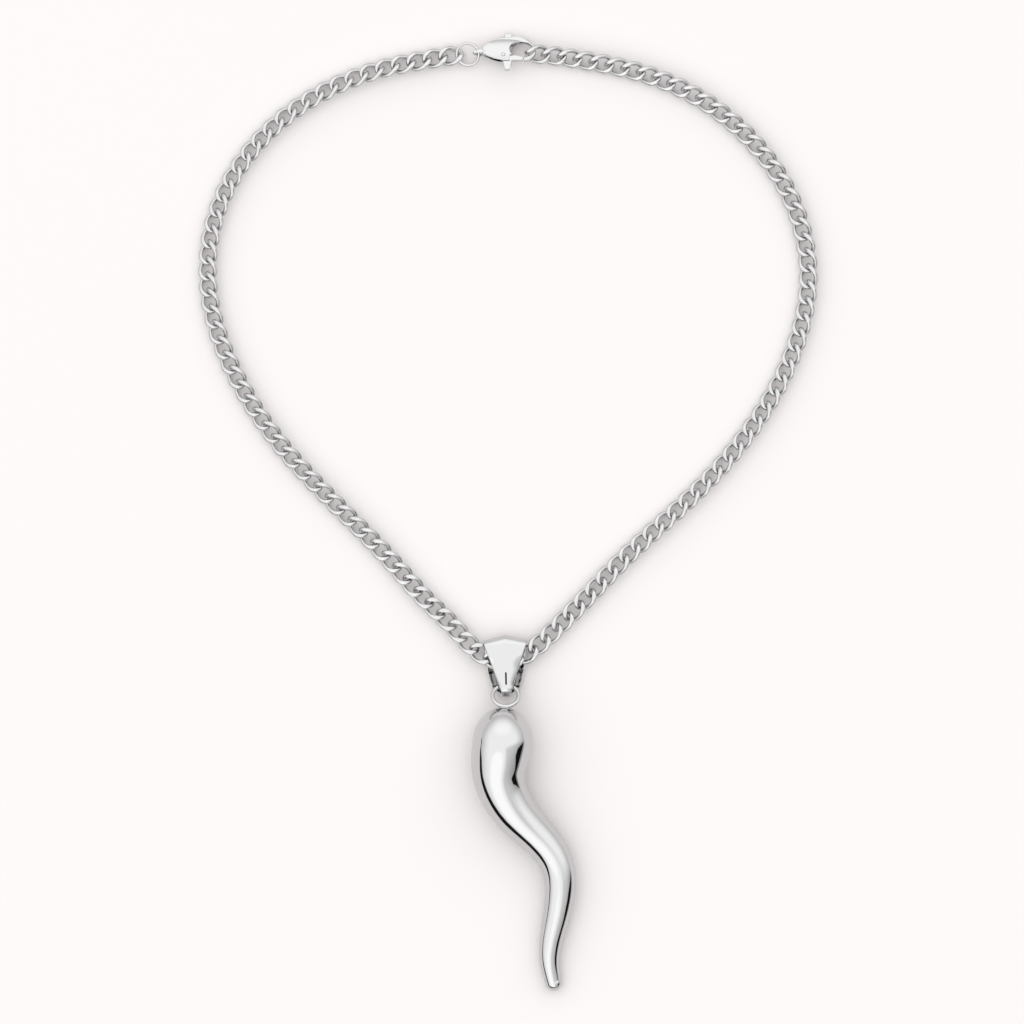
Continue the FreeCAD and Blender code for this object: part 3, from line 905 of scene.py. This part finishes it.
@dataclass
class LobsterClasp:
    """The clasp: a cast shell, its sprung lever and the rivet between them."""

    voxel: float = 0.075
    melt_rounds: int = 14
    lever_voxel: float = 0.05
    lever_rounds: int = 8
    pin_rounds: int = 4
    melt_share: float = 0.5
    centre: Triple = (-0.83, 112.75, 2.45)
    lie: float = -20.0
    half_size: Span = (7.2, 2.85)
    core: float = 0.75
    half_depth: float = 1.45

    def cast(self, node: str, name: str, voxel: float) -> bpy.types.Object:
        """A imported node's copy with an even skin.

        Args:
            node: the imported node.
            name: the new piece's name.
            voxel: the grain of the new skin, in millimetres.

        Returns:
            The new piece.
        """
        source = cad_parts[node]
        mesh = source.data.copy()
        shape = bmesh.new()
        shape.from_mesh(mesh)
        bmesh.ops.remove_doubles(shape, verts=shape.verts, dist=WELD)
        shape.to_mesh(mesh)
        shape.free()
        piece = bpy.data.objects.new(name, mesh)
        bpy.context.scene.collection.objects.link(piece)
        remesh = piece.modifiers.new("skin", "REMESH")
        remesh.mode = "VOXEL"
        remesh.voxel_size = voxel * MM
        remesh.use_smooth_shade = True
        self.settle(piece)
        return piece

    def melt(self, piece: bpy.types.Object, rounds: int) -> None:
        """Softens a piece's edges as in a casting.

        Args:
            piece: the piece.
            rounds: how often its skin is evened.
        """
        melt = piece.modifiers.new("melt", "SMOOTH")
        melt.factor = self.melt_share
        melt.iterations = rounds
        self.settle(piece)

    def settle(self, piece: bpy.types.Object) -> None:
        """Makes a piece's modified shape its own.

        Args:
            piece: the piece.
        """
        graph = bpy.context.evaluated_depsgraph_get()
        made = bpy.data.meshes.new_from_object(piece.evaluated_get(graph))
        made.name = piece.name
        piece.modifiers.clear()
        piece.data = made
        finish_mesh(piece)

    def round_off(self, shell: bpy.types.Object) -> None:
        """Turns the shell's two flat sides into low domes.

        Args:
            shell: the shell.
        """
        upright = Matrix.Rotation(math.radians(self.lie), 3, "X")
        centre = Vector(self.centre)
        long, wide = self.half_size
        for vertex in shell.data.vertices:
            place = upright.transposed() @ (vertex.co / MM - centre)
            within = max(0.0, 1 - (place.x / long) ** 2 - (place.y / wide) ** 2)
            limit = self.core + (self.half_depth - self.core) * math.sqrt(within)
            if abs(place.z) > limit:
                place.z = math.copysign(limit, place.z)
                vertex.co = (upright @ place + centre) * MM

    def build(self, metal: bpy.types.Material) -> None:
        """Makes the shell, the lever and the rivet.

        Args:
            metal: what they are made of.
        """
        shell = self.cast("clasp_body", "clasp_shell", self.voxel)
        self.round_off(shell)
        self.melt(shell, self.melt_rounds)
        ride_as(shell, metal, NECKLACE, ["clasp_body"])
        lever = self.cast("clasp_lever", "clasp_thumb_lever", self.lever_voxel)
        self.melt(lever, self.lever_rounds)
        ride_as(lever, metal, LEVER, ["clasp_lever"])
        pin = self.cast("clasp_pin", "clasp_rivet", self.lever_voxel)
        self.melt(pin, self.pin_rounds)
        ride_as(pin, metal, NECKLACE, ["clasp_pin"])


# The studio.


@dataclass(frozen=True)
class LightPanel:
    """A soft round patch of the tent that is brighter than the cloth round it."""

    aim: Triple
    edge: Span
    gain: float


@dataclass
class Studio:
    """The pale table, the soft light round it and the camera above it.

    The tent is described by the direction that a ray runs in: its height is nought at the
    table and one overhead, and south is towards the horn's tip. Edges are the two values
    between which a part of the tent fades in.
    """

    lens: float = 300.0
    sensor: float = 36.0
    view_width: float = 251.1
    middle: Span = (0.88, -0.02)
    far_clip: float = 20.0
    table: Triple = (0.7685, 0.7415, 0.7345)
    table_half: float = 3.0
    backdrop: Triple = (0.97, 0.955, 0.95)
    tent_level: float = 1.43
    wall_foot: float = 0.58
    wall_edge: Span = (0.0, 0.7)
    grey_sides: tuple[Triple, Triple] = ((0.994, 0.110, 0.0), (0.281, -0.960, 0.0))
    grey_edge: Span = (0.12, 0.36)
    grey_depth: float = 0.32
    dusk_aim: Triple = (0.82, -0.57, 0.0)
    dusk_edge: Span = (0.5, 1.0)
    dusk_depth: float = 0.2
    panels: tuple[LightPanel, ...] = (
        LightPanel((-0.236, -0.569, 0.788), (0.90, 0.97), 0.22),
        LightPanel((0.0, 0.8, 0.6), (0.78, 0.94), 0.12),
    )
    side_edge: Span = (-0.2, 0.2)
    west_top: Span = (0.34, 0.08)
    east_top: float = 0.20
    east_steps: tuple[tuple[Span, float], ...] = (
        ((0.0, 0.3), 0.26), ((0.45, 0.65), -0.3), ((0.8, 1.0), 0.25))
    north_end: Span = (-0.32, -0.12)
    north_end_shift: float = -0.16
    sunk: float = 0.05
    foot: float = -0.03
    foot_edge: Span = (0.75, 0.95)
    foot_rise: float = 0.14
    foot_rise_east: float = 0.13
    top_edge: Span = (-0.03, 0.03)
    bottom_edge: Span = (-0.02, 0.03)
    band_depth: float = 0.985
    lamp_place: Triple = (-0.45, 0.35, 0.95)
    lamp_size: float = 0.5
    lamp_power: float = 0.4

    def build(self) -> None:
        """Makes the floor, the surroundings, the lamp and the camera."""
        self.lay_floor()
        self.light_room()
        self.hang_lamp()
        self.set_camera()

    def lay_floor(self) -> None:
        """A wide flat floor under the necklace."""
        half = self.table_half
        corners = [(-half, -half, 0), (half, -half, 0), (half, half, 0), (-half, half, 0)]
        mesh = bpy.data.meshes.new("table_top")
        mesh.from_pydata(corners, [], [(0, 1, 2, 3)])
        floor = bpy.data.objects.new("table_top", mesh)
        bpy.context.scene.collection.objects.link(floor)
        mesh.materials.append(PlainPaint("pale_table", self.table).material())

    def light_room(self) -> None:
        """A white tent that lights the room and shows in the metal, behind a plain backdrop."""
        world = bpy.data.worlds.new("studio_tent")
        bpy.context.scene.world = world
        world.use_nodes = True
        world.node_tree.nodes.clear()
        build = NodeBuilder(world.node_tree)
        way = build.add("ShaderNodeTexCoord").outputs["Generated"]
        level = build.math("MULTIPLY", self.cloth(build, way), self.dark_band(build, way))
        room = build.add("ShaderNodeBackground", {"Color": (1.0, 1.0, 1.0, 1.0), "Strength": level})
        seen = build.add("ShaderNodeBackground", {"Color": (*self.backdrop, 1.0), "Strength": 1.0})
        ray = build.add("ShaderNodeLightPath").outputs["Is Camera Ray"]
        both = build.add("ShaderNodeMixShader", {0: ray, 1: room.outputs[0], 2: seen.outputs[0]})
        build.add("ShaderNodeOutputWorld", {0: both.outputs[0]})

    def cloth(self, build: NodeBuilder, way: bpy.types.NodeSocket) -> bpy.types.NodeSocket:
        """The tent's white cloth, greyer towards its foot and in the south-east.

        Args:
            build: the world's nodes.
            way: the direction looked in.

        Returns:
            Its brightness.
        """
        height = build.add("ShaderNodeSeparateXYZ", {0: way}).outputs[2]
        fade = build.ramp(height, *self.wall_edge)
        walls = build.math("MULTIPLY_ADD", fade, 1 - self.wall_foot, self.wall_foot)
        one_side, other_side = (self.towards(build, way, side) for side in self.grey_sides)
        grey = build.ramp(build.math("MINIMUM", one_side, other_side), *self.grey_edge)
        shade = build.math("MULTIPLY_ADD", grey, -self.grey_depth, 1.0)
        dusk = build.ramp(self.towards(build, way, self.dusk_aim), *self.dusk_edge)
        shade = build.math("MULTIPLY_ADD", dusk, -self.dusk_depth, shade)
        level = build.math("MULTIPLY", build.math("MULTIPLY", walls, shade), self.tent_level)
        for panel in self.panels:
            patch = build.ramp(self.towards(build, way, panel.aim), *panel.edge)
            level = build.math("MULTIPLY_ADD", patch, panel.gain, level)
        return level

    def dark_band(self, build: NodeBuilder, way: bpy.types.NodeSocket) -> bpy.types.NodeSocket:
        """The black band round the tent's foot, with another height on each side.

        Args:
            build: the world's nodes.
            way: the direction looked in.

        Returns:
            What the cloth's brightness is multiplied by: next to nought inside the band.
        """
        x, y, height = build.add("ShaderNodeSeparateXYZ", {0: way}).outputs
        flat = build.add("ShaderNodeCombineXYZ", {0: x, 1: y, 2: 0.0}).outputs[0]
        level_way = build.add("ShaderNodeVectorMath", {0: flat}, operation="NORMALIZE").outputs[0]
        east, north, _ = build.add("ShaderNodeSeparateXYZ", {0: level_way}).outputs
        south = build.math("MULTIPLY", north, -1.0)
        side = build.ramp(east, *self.side_edge)
        west_top = build.math("MULTIPLY_ADD", south, *self.west_top)
        east_top = self.east_top
        for edge, change in self.east_steps:
            east_top = build.math("MULTIPLY_ADD", build.ramp(south, *edge), change, east_top)
        rise = build.math("SUBTRACT", east_top, west_top)
        top = build.math("MULTIPLY_ADD", rise, side, west_top)
        reach = build.ramp(build.math("MULTIPLY_ADD", side, self.north_end_shift, south),
                           *self.north_end)
        top = build.math("MULTIPLY_ADD", reach, build.math("ADD", top, self.sunk), -self.sunk)
        foot = build.math("MULTIPLY_ADD", build.ramp(south, *self.foot_edge), self.foot_rise, self.foot)
        foot = build.math("MULTIPLY_ADD", side, self.foot_rise_east, foot)
        below = build.ramp(build.math("SUBTRACT", top, height), *self.top_edge)
        above = build.ramp(build.math("SUBTRACT", height, foot), *self.bottom_edge)
        band = build.math("MULTIPLY", below, above)
        return build.math("MULTIPLY_ADD", band, -self.band_depth, 1.0)

    def towards(self, build: NodeBuilder, way: bpy.types.NodeSocket, aim: Triple) -> bpy.types.NodeSocket:
        """How nearly a direction points along an aim: one when it does, nought across it."""
        node = build.add("ShaderNodeVectorMath", {0: way, 1: aim}, operation="DOT_PRODUCT")
        return node.outputs["Value"]

    def hang_lamp(self) -> None:
        """A square soft lamp that points at the necklace and doesn't show in the metal."""
        data = bpy.data.lights.new("soft_key", "AREA")
        data.shape = "SQUARE"
        data.size = self.lamp_size
        data.energy = self.lamp_power
        lamp = bpy.data.objects.new("soft_key", data)
        bpy.context.scene.collection.objects.link(lamp)
        lamp.location = self.lamp_place
        lamp.rotation_mode = "QUATERNION"
        lamp.rotation_quaternion = (-Vector(self.lamp_place)).to_track_quat("-Z", "Y")
        lamp.visible_glossy = False

    def set_camera(self) -> None:
        """A long lens straight above the necklace."""
        data = bpy.data.cameras.new("overhead")
        data.lens = self.lens
        data.sensor_width = self.sensor
        data.clip_end = self.far_clip
        camera = bpy.data.objects.new("overhead", data)
        bpy.context.scene.collection.objects.link(camera)
        distance = self.view_width * MM * self.lens / self.sensor
        camera.location = (self.middle[0] * MM, self.middle[1] * MM, distance)
        bpy.context.scene.camera = camera
        bpy.context.scene.view_settings.view_transform = "Standard"


def main() -> None:
    """Builds the necklace piece by piece, and the studio round it."""
    logging.basicConfig(level=logging.INFO, format="%(message)s")
    marks = HandlingMarks().group()
    Horn().build(PolishedSteel("mirror_steel").material(marks))
    # near-black steel for the bail's slit: painted shade standing for the shadow inside the slit
    painted_slit_shade = PolishedSteel("slit_painted_shade", shade=(0.03, 0.03, 0.03), smoothness=0.5).material(marks)
    Bail().build(PolishedSteel("bail_steel", smoothness=0.07).material(marks), painted_slit_shade)
    links = PolishedSteel("chain_steel", smoothness=0.05).material(marks)
    CurbChain().build(links)
    JumpRing().build(links)
    LobsterClasp().build(PolishedSteel("clasp_steel", smoothness=0.08).material(marks))
    Studio().build()


if __name__ == "__main__":
    main()
